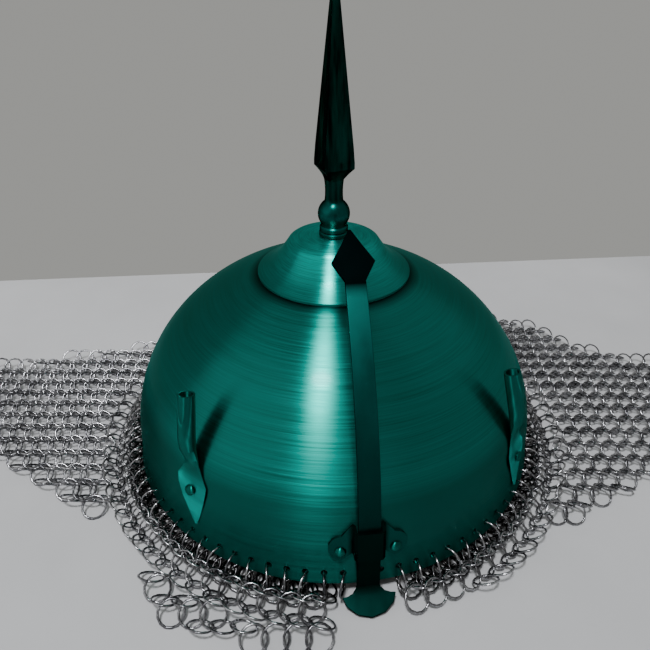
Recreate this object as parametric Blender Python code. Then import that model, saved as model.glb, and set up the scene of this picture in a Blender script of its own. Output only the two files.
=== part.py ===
"""A kulah khud lying on its mail: bowl, crown plate, spike, sliding nasal, plume sockets and aventail.

Metres, +Z up. The origin is on the bowl's axis, on the surface that the mail lies on, and the
nasal is at the front, towards -Y. Heights in the helmet's own tables are above the rim edge.
"""
import math
from collections import namedtuple

import bmesh
import bpy
from mathutils import Matrix, Vector

# Clearance between pieces that touch on the real helmet, and the bend that shows as a crease
FIT = 0.0003
CREASE_DEGREES = 35

# Bowl: a nearly straight band above the rim, then an elliptical dome
RIM_HEIGHT = 0.0070
BOWL_RADIUS = 0.1040
BOWL_RISE = 0.0960
BOWL_WALL = 0.0012
BAND_HEIGHT = 0.0110
BAND_FLARE = 0.0020
DOME_ROWS = 8

# Row of holes along the rim that carries the mail, and where the first one is from the nasal
RIM_HOLE_COUNT = 84
RIM_HOLE_RADIUS = 0.00145
RIM_HOLE_HEIGHT = 0.0055
RIM_HOLE_START_DEGREES = -1.2
RIM_HOLE_SIDES = 6

# Crown plate: a spun sheet from its lip on the bowl up to a rounded shoulder
CROWN_LIP_RADIUS = 0.0360
CROWN_TOP_RADIUS = 0.0206
CROWN_RISE = 0.0172
CROWN_SHEET = 0.0010
CROWN_SIDES = 30

# Spike: stud, banded collar, ball, neck and a four-sided blade with hollow faces
STUD_RADIUS = 0.0030
STUD_THREAD_END = 0.0020
COLLAR_RADIUS = 0.00675
COLLAR_HEIGHT = 0.0059
BALL_RADIUS = 0.0073
BALL_CENTRE = 0.0043
NECK_RADIUS = 0.0044
NECK_LENGTH = 0.0120
NECK_WAIST_RADIUS = 0.0040
BALL_ROWS = 6
BLADE_SOCKET_HEIGHT = 0.0032
BLADE_SHOULDER_HEIGHT = 0.0037
BLADE_HALF_WIDTH = 0.0067
BLADE_TURN_DEGREES = 15
BLADE_LENGTH = 0.0703
BLADE_POINT_HALF_WIDTH = 0.0005
BLADE_HOLLOW = 0.08
SPIKE_SIDES = 16
NUT_HALF_WIDTH = 0.0050
NUT_HEIGHT = 0.0045
NUT_SIDES = 6

# Nasal: a bar bent to an arc that slides along itself, with a lozenge above and a foot below
NASAL_ARC_RADIUS = 0.1600
NASAL_ARC_RISE = 0.0
NASAL_RIM_GAP = 0.0006
NASAL_THICKNESS = 0.0018
NASAL_WIDTH_LOW = 0.0092
NASAL_WIDTH_HIGH = 0.0079
NASAL_ROOT_RISE = 0.0010
LOZENGE_START_DEGREES = 45.5
LOZENGE_LENGTH = 0.0208
LOZENGE_WIDTH = 0.0166
LOZENGE_WIDEST = 0.36
LOZENGE_TIP_WIDTH = 0.0009
FOOT_LENGTH = 0.0125
FOOT_WIDTH = 0.0220
FOOT_BULGE = 0.0060
FOOT_REACH = 0.0106
NASAL_BAR_ROWS = 16
PLATE_COLUMNS = 6

# Bracket that holds the nasal to the brow
BRACKET_SHEET = 0.0012
BRACKET_BRIDGE_RISE = 0.0245
BRACKET_BRIDGE_HALF_HEIGHT = 0.0067
BRACKET_EAR_RISE = 0.0203
BRACKET_EAR_HALF_HEIGHT = 0.0062
BRACKET_EAR_ROUND = 0.0052
BRACKET_END = 0.0158
BRACKET_RIVET_RISE = 0.0186
BRACKET_RIVET_DEGREES = 6.2
BRACKET_BEND = 0.0008
BRACKET_END_ROWS = 4
BRACKET_END_SHARE = 0.96

# Rivets: domed outside, upset flat inside
RIVET_HEAD_RADIUS = 0.0025
RIVET_HEAD_HEIGHT = 0.0015
RIVET_SHANK_RADIUS = 0.0012
RIVET_TAIL_RADIUS = 0.0021
RIVET_TAIL_HEIGHT = 0.0008
RIVET_SIDES = 10

# Plume sockets: a rolled tube that opens out below into a riveted leaf
SOCKET_TIP_RISE = 0.0120
SOCKET_RIVET_RISE = 0.0290
SOCKET_WAIST_RISE = 0.0400
SOCKET_MOUTH_RISE = 0.0715
SOCKET_MOUTH_STANDOFF = 0.01965
SOCKET_TUBE_RADIUS = 0.0036
SOCKET_SHEET = 0.0008
SOCKET_LEAF_SHEET = 0.0010
SOCKET_LEAF_WIDTH = 0.0170
SOCKET_BORE_DEPTH = 0.0220
SOCKET_SIDES = 12

# Mail: where it reaches on the surface, its thickness, and the hem bunched at the rim
MAIL_WING_REACH = 0.2860
MAIL_APRON_REACH = 0.1250
MAIL_THICKNESS = 0.0038
MAIL_RIPPLE = 0.0007
MAIL_RIPPLES = 22
MAIL_HEM_INSET = 0.0060
MAIL_HEM_STEP = 0.0010
MAIL_HEM_RISE = 0.0042
MAIL_HEM_SPREAD = 0.0110
MAIL_SLOT_GAP = 0.0018
MAIL_RAYS = 76

# Places of the two sockets, in degrees from the nasal at the leaf's tip and at the tube's mouth,
# and how much higher than the named heights each one was riveted
Socket = namedtuple("Socket", "side tip_degrees mouth_degrees lift")
SOCKETS = (
    Socket("left", -42.5, -47.0, 0.0),
    Socket("right", 47.0, 47.5, -0.0028),
)

# Crown plate's outer section: radius between top and lip radius, height as a share of the rise
CrownRow = namedtuple("CrownRow", "spread rise")
CROWN_SECTION = (
    CrownRow(1.00, 0.00),
    CrownRow(0.80, 0.115),
    CrownRow(0.58, 0.255),
    CrownRow(0.36, 0.455),
    CrownRow(0.18, 0.670),
    CrownRow(0.065, 0.830),
    CrownRow(0.00, 0.905),
    CrownRow(-0.12, 0.960),
    CrownRow(-0.42, 1.000),
)

# Turned part of the spike: radius as a share of a named one, height along a named length
CollarRow = namedtuple("CollarRow", "radius rise")
COLLAR_SECTION = (
    CollarRow(0.88, 0.00),
    CollarRow(1.00, 0.06),
    CollarRow(1.00, 0.28),
    CollarRow(0.90, 0.36),
    CollarRow(0.97, 0.44),
    CollarRow(0.97, 0.72),
    CollarRow(0.86, 0.82),
)

# Foot of the nasal: share of its length, of its half width and of its bulge
FootRow = namedtuple("FootRow", "along width bulge")
FOOT_SECTION = (
    FootRow(1.00, 1.00, 1.00),
    FootRow(0.80, 0.80, 0.62),
    FootRow(0.55, 0.60, 0.26),
    FootRow(0.28, 0.46, 0.06),
)

# Plume socket: share of the way up the leaf or the tube, width and depth as shares of the full ones
LeafRow = namedtuple("LeafRow", "along width")
LEAF_SECTION = (
    LeafRow(0.00, 0.08),
    LeafRow(0.18, 0.38),
    LeafRow(0.42, 0.72),
    LeafRow(0.61, 0.93),
    LeafRow(0.74, 1.00),
    LeafRow(0.86, 0.74),
)
TubeRow = namedtuple("TubeRow", "along width depth")
TUBE_SECTION = (
    TubeRow(0.00, 1.25, 0.30),
    TubeRow(0.10, 1.20, 0.52),
    TubeRow(0.24, 1.07, 0.86),
    TubeRow(0.40, 1.00, 1.00),
    TubeRow(1.00, 1.00, 1.00),
)

# Outline of the mail on the surface, as shares of the wing reach across and the apron reach along,
# from one side of the slot for the nasal round to the other
Corner = namedtuple("Corner", "across along")
MAIL_OUTLINE = (
    Corner(-0.115, -1.00),
    Corner(-0.250, -0.90),
    Corner(-0.320, -0.73),
    Corner(-0.350, -0.575),
    Corner(-0.585, -0.16),
    Corner(-1.000, 0.57),
    Corner(-0.540, 0.66),
    Corner(-0.405, 0.71),
    Corner(-0.220, 0.94),
    Corner(0.000, 1.00),
    Corner(0.250, 0.95),
    Corner(0.525, 0.66),
    Corner(0.615, 0.385),
    Corner(1.000, -0.07),
    Corner(0.525, -0.54),
    Corner(0.317, -0.71),
    Corner(0.183, -0.867),
    Corner(0.112, -0.876),
)
MAIL_SLOT_ALONG = (-0.955, -0.918)

# Worked out from the values above
BAND_TOP_RADIUS = BOWL_RADIUS - BAND_FLARE
NASAL_ARC_OFFSET = BOWL_RADIUS + NASAL_RIM_GAP + NASAL_THICKNESS / 2 - NASAL_ARC_RADIUS
NASAL_FRONT = NASAL_ARC_OFFSET + NASAL_ARC_RADIUS + NASAL_THICKNESS / 2


def dome_section(inset=0.0):
    """Radius and height of the bowl's surface from the rim edge to the crown hole."""
    hole = STUD_RADIUS + FIT
    width = BAND_TOP_RADIUS - inset
    height = BOWL_RISE - BAND_HEIGHT - inset
    section = [(BOWL_RADIUS - inset, 0.0)]
    for row in range(DOME_ROWS):
        angle = math.pi / 2 * row / DOME_ROWS
        section.append((width * math.cos(angle), BAND_HEIGHT + height * math.sin(angle)))
    section.append((hole, BAND_HEIGHT + height * math.sqrt(1.0 - (hole / width) ** 2)))
    return section


def between(value, start, end):
    """Straight-line reading of one column of a section against the other."""
    share = (value - start[0]) / (end[0] - start[0])
    return start[1] + share * (end[1] - start[1])


def dome_radius(rise, inset=0.0):
    """Radius of the bowl's faceted surface at a height above the rim."""
    section = [(height, radius) for radius, height in dome_section(inset)]
    for start, end in zip(section, section[1:]):
        if rise <= end[0]:
            return between(rise, start, end)
    return section[-1][1]


def dome_rise(radius, inset=0.0):
    """Height above the rim of the same surface at a radius on the dome."""
    section = dome_section(inset)
    for start, end in zip(section, section[1:]):
        if radius >= end[0]:
            return between(radius, start, end)
    return section[-1][1]


def dome_tilt(rise):
    """Angle of the surface's outward normal above the horizontal."""
    step = BOWL_WALL
    return math.atan2(dome_radius(rise - step) - dome_radius(rise + step), 2 * step)


def around(degrees, radius, rise):
    """Point at an angle from the nasal, positive to the wearer's left, and at a height."""
    angle = math.radians(degrees)
    return Vector((radius * math.sin(angle), -radius * math.cos(angle), rise))


def seat_matrix(degrees, rise):
    """Frame on the bowl's outer surface with Z along its outward normal."""
    radius = dome_radius(rise)
    tilt = dome_tilt(rise)
    turn = Matrix.Rotation(math.radians(degrees), 4, "Z")
    lean = Matrix.Rotation(math.pi / 2 - tilt, 4, "X")
    return Matrix.Translation(around(degrees, radius, rise)) @ turn @ lean


def clear_scene():
    for item in list(bpy.data.objects):
        bpy.data.objects.remove(item)


def make_material(name, colour, metallic, roughness):
    material = bpy.data.materials.new(name)
    material.use_nodes = True
    shader = material.node_tree.nodes["Principled BSDF"]
    shader.inputs["Base Color"].default_value = (*colour, 1.0)
    shader.inputs["Metallic"].default_value = metallic
    shader.inputs["Roughness"].default_value = roughness
    return material


def make_empty(name, location):
    empty = bpy.data.objects.new(name, None)
    empty.location = location
    bpy.context.collection.objects.link(empty)
    return empty


def make_object(name, shape, material, parent=None):
    """Turn a bmesh into a smooth-shaded object with its faces pointing out."""
    bmesh.ops.recalc_face_normals(shape, faces=shape.faces)
    mesh = bpy.data.meshes.new(name)
    shape.to_mesh(mesh)
    shape.free()
    mesh.shade_smooth()
    mesh.set_sharp_from_angle(angle=math.radians(CREASE_DEGREES))
    item = bpy.data.objects.new(name, mesh)
    bpy.context.collection.objects.link(item)
    item.parent = parent
    if material:
        mesh.materials.append(material)
    return item


def make_cutter(name, shape, parent):
    cutter = make_object(name, shape, None, parent)
    cutter.hide_render = True
    cutter.display_type = "WIRE"
    return cutter


def cut(item, cutter):
    modifier = item.modifiers.new("cut_" + cutter.name, "BOOLEAN")
    modifier.operation = "DIFFERENCE"
    modifier.object = cutter


def turned(profile, sides, start_degrees=0.0):
    """Spin a closed section, given as radius and height, once about Z."""
    shape = bmesh.new()
    corners = [shape.verts.new(around(start_degrees, radius, rise)) for radius, rise in profile]
    edges = [shape.edges.new(pair) for pair in zip(corners, corners[1:] + corners[:1])]
    bmesh.ops.spin(shape, geom=corners + edges, cent=(0, 0, 0), axis=(0, 0, 1),
                   angle=math.tau, steps=sides)
    bmesh.ops.remove_doubles(shape, verts=shape.verts, dist=FIT / 100)
    return shape


def lofted(loops):
    """Skin a chain of loops of equal count and cap both ends."""
    shape = bmesh.new()
    rings = [[shape.verts.new(point) for point in loop] for loop in loops]
    for lower, upper in zip(rings, rings[1:]):
        for index, corner in enumerate(lower):
            after = (index + 1) % len(lower)
            shape.faces.new((corner, lower[after], upper[after], upper[index]))
    shape.faces.new(rings[0])
    shape.faces.new(rings[-1])
    return shape


def plate(rows, name, material, parent, thickness):
    """Sheet metal: a grid of points thickened evenly about its middle."""
    shape = bmesh.new()
    grid = [[shape.verts.new(point) for point in row] for row in rows]
    for lower, upper in zip(grid, grid[1:]):
        for index in range(len(lower) - 1):
            shape.faces.new((lower[index], lower[index + 1], upper[index + 1], upper[index]))
    item = make_object(name, shape, material, parent)
    wall = item.modifiers.new("thickness", "SOLIDIFY")
    wall.thickness = thickness
    wall.offset = 0.0
    wall.use_even_offset = True
    return item


def bowl_profile():
    """Closed section of the bowl's wall, from the rim edge up the outside and back down inside."""
    return dome_section() + dome_section(BOWL_WALL)[::-1]


def rim_hole_cutter(parent):
    """One drill for each rim hole, pointing at the axis."""
    shape = bmesh.new()
    for index in range(RIM_HOLE_COUNT):
        degrees = RIM_HOLE_START_DEGREES + 360 * index / RIM_HOLE_COUNT
        place = Matrix.Translation(around(degrees, BAND_TOP_RADIUS, RIM_HOLE_HEIGHT))
        turn = Matrix.Rotation(math.radians(degrees), 4, "Z") @ Matrix.Rotation(math.pi / 2, 4, "X")
        bmesh.ops.create_cone(shape, cap_ends=True, segments=RIM_HOLE_SIDES, radius1=RIM_HOLE_RADIUS,
                              radius2=RIM_HOLE_RADIUS, depth=6 * BOWL_WALL, matrix=place @ turn)
    return make_cutter("rim_hole_cutter", shape, parent)


def rivet_hole_cutter(name, seats, parent):
    """Drills along the rivets, long enough for the sheet outside and the bowl's wall."""
    shape = bmesh.new()
    for seat in seats:
        bmesh.ops.create_cone(shape, cap_ends=True, segments=RIVET_SIDES,
                              radius1=RIVET_SHANK_RADIUS + FIT, radius2=RIVET_SHANK_RADIUS + FIT,
                              depth=8 * BOWL_WALL, matrix=seat)
    return make_cutter(name, shape, parent)


def make_bowl(material, parent, rim_holes, rivet_holes):
    half_pitch = 180 / RIM_HOLE_COUNT
    shape = turned(bowl_profile(), RIM_HOLE_COUNT, RIM_HOLE_START_DEGREES + half_pitch)
    bowl = make_object("bowl", shape, material, parent)
    cut(bowl, rim_holes)
    for cutter in rivet_holes:
        cut(bowl, cutter)
    return bowl


def crown_lip_rise():
    """Height of the crown plate's lip, just clear of the bowl inside and under its edge."""
    return dome_rise(CROWN_LIP_RADIUS - CROWN_SHEET) + FIT


def crown_profile():
    """Closed section of the crown plate, whose sheet is measured straight down on its flat top."""
    lip = crown_lip_rise()
    outer = []
    for row in CROWN_SECTION:
        radius = CROWN_TOP_RADIUS + row.spread * (CROWN_LIP_RADIUS - CROWN_TOP_RADIUS)
        outer.append((radius, lip + CROWN_SHEET + row.rise * (CROWN_RISE - CROWN_SHEET)))
    inner = []
    for before, here, after in zip(outer[:1] + outer, outer, outer[1:] + outer[-1:]):
        along = Vector(after) - Vector(before)
        inward = Vector((-along.y, along.x)).normalized() * CROWN_SHEET
        inner.append((here[0] + inward.x, here[1] + inward.y))
    inner[0] = (outer[0][0] - CROWN_SHEET, lip)
    hole = STUD_RADIUS + FIT
    top = lip + CROWN_RISE
    edge = [(hole, top), (hole, top - CROWN_SHEET)]
    return [(outer[0][0], lip)] + outer + edge + inner[::-1]


def make_crown_plate(material, parent):
    return make_object("crown_plate", turned(crown_profile(), CROWN_SIDES), material, parent)


def spike_loop(rise, reach, square=0.0):
    """Loop round the spike's axis, from a circle to a turned square with hollow sides."""
    loop = []
    for index in range(SPIKE_SIDES):
        angle = math.tau * index / SPIKE_SIDES
        flat = 1.0 / max(abs(math.cos(angle)), abs(math.sin(angle)))
        hollow = 1.0 - BLADE_HOLLOW * math.cos(2 * angle) ** 2
        radius = reach * (1.0 + square * (flat * hollow - 1.0))
        turned_angle = angle + math.radians(BLADE_TURN_DEGREES)
        loop.append((radius * math.cos(turned_angle), radius * math.sin(turned_angle), rise))
    return loop


def stud_end():
    """Height of the lower end of the stud, past the nut inside the bowl."""
    return nut_top() - NUT_HEIGHT - STUD_THREAD_END


def nut_top():
    corner = NUT_HALF_WIDTH / math.cos(math.pi / NUT_SIDES)
    return dome_rise(corner, BOWL_WALL) - FIT


def make_spike(material, parent):
    seat = crown_lip_rise() + CROWN_RISE + FIT
    loops = [spike_loop(stud_end(), STUD_RADIUS), spike_loop(seat, STUD_RADIUS)]
    for row in COLLAR_SECTION:
        loops.append(spike_loop(seat + row.rise * COLLAR_HEIGHT, row.radius * COLLAR_RADIUS))
    centre = seat + COLLAR_HEIGHT + BALL_CENTRE
    lowest = -math.asin(BALL_CENTRE / BALL_RADIUS)
    highest = math.acos(NECK_RADIUS / BALL_RADIUS)
    for row in range(BALL_ROWS + 1):
        angle = lowest + (highest - lowest) * row / BALL_ROWS
        loops.append(spike_loop(centre + BALL_RADIUS * math.sin(angle), BALL_RADIUS * math.cos(angle)))
    neck = centre + BALL_RADIUS * math.sin(highest)
    loops.append(spike_loop(neck + NECK_LENGTH / 2, NECK_WAIST_RADIUS))
    loops.append(spike_loop(neck + NECK_LENGTH, NECK_RADIUS))
    shoulder = neck + NECK_LENGTH + BLADE_SOCKET_HEIGHT
    loops.append(spike_loop(shoulder, BLADE_HALF_WIDTH, 1.0))
    loops.append(spike_loop(shoulder + BLADE_SHOULDER_HEIGHT, BLADE_HALF_WIDTH, 1.0))
    loops.append(spike_loop(shoulder + BLADE_SHOULDER_HEIGHT + BLADE_LENGTH, BLADE_POINT_HALF_WIDTH, 1.0))
    return make_object("spike", lofted(loops), material, parent)


def make_spike_nut(material, parent):
    top = nut_top()
    corner = NUT_HALF_WIDTH / math.cos(math.pi / NUT_SIDES)
    bore = (STUD_RADIUS + FIT) / math.cos(math.pi / NUT_SIDES)
    profile = [(corner, top - NUT_HEIGHT), (corner, top), (bore, top), (bore, top - NUT_HEIGHT)]
    shape = turned(profile, NUT_SIDES)
    return make_object("spike_nut", shape, material, parent)


def nasal_point(degrees, across, out=0.0):
    """Point on the nasal's arc, in the frame whose origin is the arc's centre."""
    angle = math.radians(degrees)
    radius = NASAL_ARC_RADIUS + out
    return Vector((across, -radius * math.cos(angle), radius * math.sin(angle)))


def nasal_root_degrees():
    """Angle on the arc where the foot begins."""
    return math.degrees(math.asin((NASAL_ROOT_RISE - NASAL_ARC_RISE) / NASAL_ARC_RADIUS))


def row_across(half_width):
    """Places of one row's points, from one edge of a plate to the other."""
    return [half_width * (2 * column / PLATE_COLUMNS - 1) for column in range(PLATE_COLUMNS + 1)]


def foot_rows():
    """Rows of the foot, which bends outwards to lie just above the surface under the helmet.

    Each row is bowed downwards like a quarter turn either side of the middle.
    """
    root = nasal_point(nasal_root_degrees(), 0.0)
    sole = -RIM_HEIGHT - NASAL_ARC_RISE + NASAL_THICKNESS / 2 + 2 * FIT
    end = Vector((0.0, root.y - FOOT_REACH, sole))
    bend = Vector((0.0, root.y, (root.z + end.z) / 2))
    rows = []
    for section in FOOT_SECTION:
        row = []
        for turn in row_across(math.pi / 2):
            along = section.along - section.bulge * FOOT_BULGE / FOOT_LENGTH * (1 - math.cos(turn))
            place = root.lerp(bend, along).lerp(bend.lerp(end, along), along)
            row.append(Vector((FOOT_WIDTH / 2 * section.width * math.sin(turn), place.y, place.z)))
        rows.append(row)
    return rows


def bar_rows():
    low = nasal_root_degrees()
    rows = []
    for index in range(NASAL_BAR_ROWS + 1):
        share = index / NASAL_BAR_ROWS
        degrees = low + (LOZENGE_START_DEGREES - low) * share
        width = NASAL_WIDTH_LOW + (NASAL_WIDTH_HIGH - NASAL_WIDTH_LOW) * share
        rows.append([nasal_point(degrees, across) for across in row_across(width / 2)])
    return rows


def lozenge_rows():
    rows = []
    reach = math.degrees(LOZENGE_LENGTH / NASAL_ARC_RADIUS)
    for along, width in ((LOZENGE_WIDEST, LOZENGE_WIDTH), ((1 + LOZENGE_WIDEST) / 2, LOZENGE_WIDTH / 2),
                         (1.0, LOZENGE_TIP_WIDTH)):
        degrees = LOZENGE_START_DEGREES + reach * along
        rows.append([nasal_point(degrees, across) for across in row_across(width / 2)])
    return rows


def make_nasal_bar(material, pivot):
    rows = foot_rows() + bar_rows() + lozenge_rows()
    return plate(rows, "nasal_bar", material, pivot, NASAL_THICKNESS)


def bracket_leg():
    """Distance across from the nasal's middle to the middle of the bracket's legs."""
    return NASAL_WIDTH_LOW / 2 + FIT + BRACKET_SHEET / 2


def bracket_path():
    """Half of the bracket's path from above: across, and share of the way from the bowl to the front."""
    leg = bracket_leg()
    ear_root = leg + BRACKET_BEND
    turns = [math.pi / 2 * row / BRACKET_END_ROWS for row in range(BRACKET_END_ROWS + 1)]
    ear = [(BRACKET_END - BRACKET_EAR_ROUND * (1 - math.cos(turn)), 0.0) for turn in turns]
    return ear + [(ear_root, 0.0), (leg, 0.2), (leg, 0.8), (leg - BRACKET_BEND, 1.0), (0.0, 1.0)]


def bracket_span(across):
    """Middle height and half height of the strap, from the bridge out to the round ear."""
    ear_root = bracket_leg() + BRACKET_BEND
    centre = BRACKET_END - BRACKET_EAR_ROUND
    drop = min(1.0, max(0.0, (across - ear_root) / (centre - ear_root)))
    middle = BRACKET_BRIDGE_RISE + (BRACKET_EAR_RISE - BRACKET_BRIDGE_RISE) * drop
    half = BRACKET_BRIDGE_HALF_HEIGHT + (BRACKET_EAR_HALF_HEIGHT - BRACKET_BRIDGE_HALF_HEIGHT) * drop
    if across > centre:
        share = min(BRACKET_END_SHARE, (across - centre) / BRACKET_EAR_ROUND)
        half *= math.sqrt(1 - share * share)
    return middle, half


def bracket_row(across, share, side):
    """One row of the strap, on the bowl at share 0 and over the nasal's front at share 1."""
    row = []
    middle, half = bracket_span(across)
    gap = 1.5 * FIT + BRACKET_SHEET / 2
    for lift in row_across(half):
        rise = middle + lift
        clear = dome_radius(rise) + gap / math.cos(dome_tilt(rise))
        on_bowl = math.sqrt(clear ** 2 - across * across)
        front = NASAL_ARC_RADIUS + NASAL_THICKNESS / 2 + gap
        over_nasal = NASAL_ARC_OFFSET + math.sqrt(front ** 2 - (rise - NASAL_ARC_RISE) ** 2)
        row.append(Vector((side * across, -on_bowl - share * (over_nasal - on_bowl), rise)))
    return row


def make_nasal_bracket(material, parent, rivet_holes):
    path = bracket_path()
    rows = [bracket_row(across, share, -1) for across, share in path]
    rows += [bracket_row(across, share, 1) for across, share in path[-2::-1]]
    bracket = plate(rows, "nasal_bracket", material, parent, BRACKET_SHEET)
    cut(bracket, rivet_holes)
    return bracket


def make_rivet(name, seat, sheet, material, parent):
    """Rivet through a sheet and the bowl's wall, with Z out along the bowl's normal."""
    under_head = FIT + sheet + FIT
    inside = -BOWL_WALL - FIT
    profile = [(0.0, inside - RIVET_TAIL_HEIGHT), (RIVET_TAIL_RADIUS, inside - RIVET_TAIL_HEIGHT),
               (RIVET_TAIL_RADIUS, inside), (RIVET_SHANK_RADIUS, inside),
               (RIVET_SHANK_RADIUS, under_head), (RIVET_HEAD_RADIUS, under_head)]
    for angle in (math.pi / 6, math.pi / 3):
        profile.append((RIVET_HEAD_RADIUS * math.cos(angle),
                        under_head + RIVET_HEAD_HEIGHT * math.sin(angle)))
    profile.append((0.0, under_head + RIVET_HEAD_HEIGHT))
    rivet = make_object(name, turned(profile, RIVET_SIDES), material, parent)
    rivet.matrix_local = seat
    return rivet


def socket_seat(socket, rise):
    """Frame on the bowl where the socket is at one of its heights; it leans sideways as it rises."""
    share = (rise - SOCKET_TIP_RISE) / (SOCKET_MOUTH_RISE - SOCKET_TIP_RISE)
    degrees = socket.tip_degrees + (socket.mouth_degrees - socket.tip_degrees) * share
    return seat_matrix(degrees, rise + socket.lift)


def socket_loop(centre, side_way, out_way, half_width, half_depth):
    loop = []
    for index in range(SOCKET_SIDES):
        angle = math.tau * index / SOCKET_SIDES
        loop.append(centre + side_way * half_width * math.cos(angle) + out_way * half_depth * math.sin(angle))
    return loop


def leaf_loops(socket):
    """Flat leaf that lies on the bowl, from its tip up to the waist."""
    loops = []
    for row in LEAF_SECTION:
        seat = socket_seat(socket, SOCKET_TIP_RISE + row.along * (SOCKET_WAIST_RISE - SOCKET_TIP_RISE))
        centre = seat @ Vector((0.0, 0.0, FIT + SOCKET_LEAF_SHEET / 2))
        side_way = seat.to_3x3() @ Vector((1.0, 0.0, 0.0))
        out_way = seat.to_3x3() @ Vector((0.0, 0.0, 1.0))
        loops.append(socket_loop(centre, side_way, out_way,
                                 SOCKET_LEAF_WIDTH / 2 * row.width, SOCKET_LEAF_SHEET / 2))
    return loops


def tube_loops(socket):
    """Outside of the tube from the waist to its mouth, then down its bore to the bore's floor."""
    start = socket_seat(socket, SOCKET_WAIST_RISE) @ Vector((0.0, 0.0, FIT + SOCKET_TUBE_RADIUS))
    mouth = around(socket.mouth_degrees, dome_radius(SOCKET_MOUTH_RISE) + SOCKET_MOUTH_STANDOFF,
                   SOCKET_MOUTH_RISE + socket.lift)
    length = (mouth - start).length
    along = (mouth - start).normalized()
    side_way = along.cross(around(socket.mouth_degrees, 1.0, 0.0)).normalized()
    out_way = side_way.cross(along)
    loops = []
    for row in TUBE_SECTION:
        half_depth = SOCKET_TUBE_RADIUS * row.depth
        centre = start + along * length * row.along - out_way * (SOCKET_TUBE_RADIUS - half_depth)
        loops.append(socket_loop(centre, side_way, out_way, SOCKET_TUBE_RADIUS * row.width, half_depth))
    bore = SOCKET_TUBE_RADIUS - SOCKET_SHEET
    for depth, radius in ((0.0, bore), (SOCKET_BORE_DEPTH - bore, bore), (SOCKET_BORE_DEPTH, bore / 3)):
        centre = start + along * (length - depth)
        loops.append(socket_loop(centre, side_way, out_way, radius, radius))
    return loops


def make_plume_tube(socket, material, parent, rivet_hole):
    shape = lofted(leaf_loops(socket) + tube_loops(socket))
    tube = make_object("plume_tube_" + socket.side, shape, material, parent)
    cut(tube, rivet_hole)
    return tube


def mail_outline():
    """Corners of the mail in plan, with the two beside the slot that the nasal passes through."""
    slot = FOOT_WIDTH / 2 + MAIL_SLOT_GAP
    corners = [Vector((corner.across * MAIL_WING_REACH, corner.along * MAIL_APRON_REACH))
               for corner in MAIL_OUTLINE]
    first, last = (along * MAIL_APRON_REACH for along in MAIL_SLOT_ALONG)
    return [Vector((-slot, first))] + corners + [Vector((slot, last))]


def clockwise_degrees(point):
    """Direction of a point in plan, from the nasal round by the wearer's right, in 0 to 360."""
    return math.degrees(math.atan2(-point.x, -point.y)) % 360


def outline_point(degrees, corners):
    """Point of the outline in a direction."""
    angle = math.radians(degrees)
    way = Vector((-math.sin(angle), -math.cos(angle)))
    for start, end in zip(corners, corners[1:]):
        if clockwise_degrees(start) <= degrees <= clockwise_degrees(end):
            edge = end - start
            turn = way.x * edge.y - way.y * edge.x
            return way * (start.x * edge.y - start.y * edge.x) / turn
    return corners[-1]


def mail_directions(corners):
    """Directions spread evenly between the slot's sides, moved to the outline's corners near them."""
    marks = [clockwise_degrees(corner) for corner in corners]
    step = (marks[-1] - marks[0]) / MAIL_RAYS
    even = [marks[0] + step * index for index in range(MAIL_RAYS + 1)]
    free = [degrees for degrees in even if min(abs(degrees - mark) for mark in marks) > step / 2]
    return sorted(free + marks)


def mail_section(degrees, edge):
    """Radius and top height of the mail along one direction, from the hem outwards."""
    hem = BOWL_RADIUS - MAIL_HEM_INSET
    rim = BOWL_RADIUS + MAIL_HEM_STEP
    foot = min(rim + MAIL_HEM_SPREAD, (rim + edge) / 2)
    angle = math.radians(degrees)
    ripple = MAIL_RIPPLE * math.sin(MAIL_RIPPLES * angle)
    under_rim = RIM_HEIGHT - FIT
    return [(hem, under_rim),
            (rim - MAIL_HEM_STEP / 2, under_rim),
            (rim, under_rim + MAIL_HEM_RISE),
            ((rim + foot) / 2, (under_rim + MAIL_HEM_RISE + MAIL_THICKNESS) / 2),
            (foot, MAIL_THICKNESS + ripple),
            ((foot + edge) / 2, MAIL_THICKNESS - ripple / 2),
            (edge - MAIL_THICKNESS / 2, MAIL_THICKNESS),
            (edge, MAIL_THICKNESS / 2)]


def make_mail(material):
    """The aventail: flat below, open at the front for the nasal, and open inside for the head."""
    slot = FOOT_WIDTH / 2 + MAIL_SLOT_GAP
    hem = BOWL_RADIUS - MAIL_HEM_INSET
    opening = math.degrees(math.asin(slot / hem))
    corners = mail_outline()
    directions = mail_directions(corners)
    shape = bmesh.new()
    sections = []
    for degrees in directions:
        turn = math.radians(between(degrees, (directions[0], opening), (directions[-1], 360 - opening)))
        inside = Vector((-math.sin(turn), -math.cos(turn))) * hem
        outside = outline_point(degrees, corners)
        edge = outside.length
        top = []
        floor = []
        for radius, rise in mail_section(degrees, edge):
            here = inside.lerp(outside, (radius - hem) / (edge - hem))
            top.append(shape.verts.new((here.x, here.y, rise)))
            floor.append(shape.verts.new((here.x, here.y, 0.0)))
        sections.append(top + floor[::-1])
    for before, after in zip(sections, sections[1:]):
        for index, corner in enumerate(before):
            other = (index + 1) % len(before)
            shape.faces.new((corner, before[other], after[other], after[index]))
    for section in (sections[0], sections[-1]):
        half = len(section) // 2
        for index in range(half - 1):
            shape.faces.new((section[index], section[index + 1], section[-index - 2], section[-index - 1]))
    return make_object("mail", shape, material)


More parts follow.
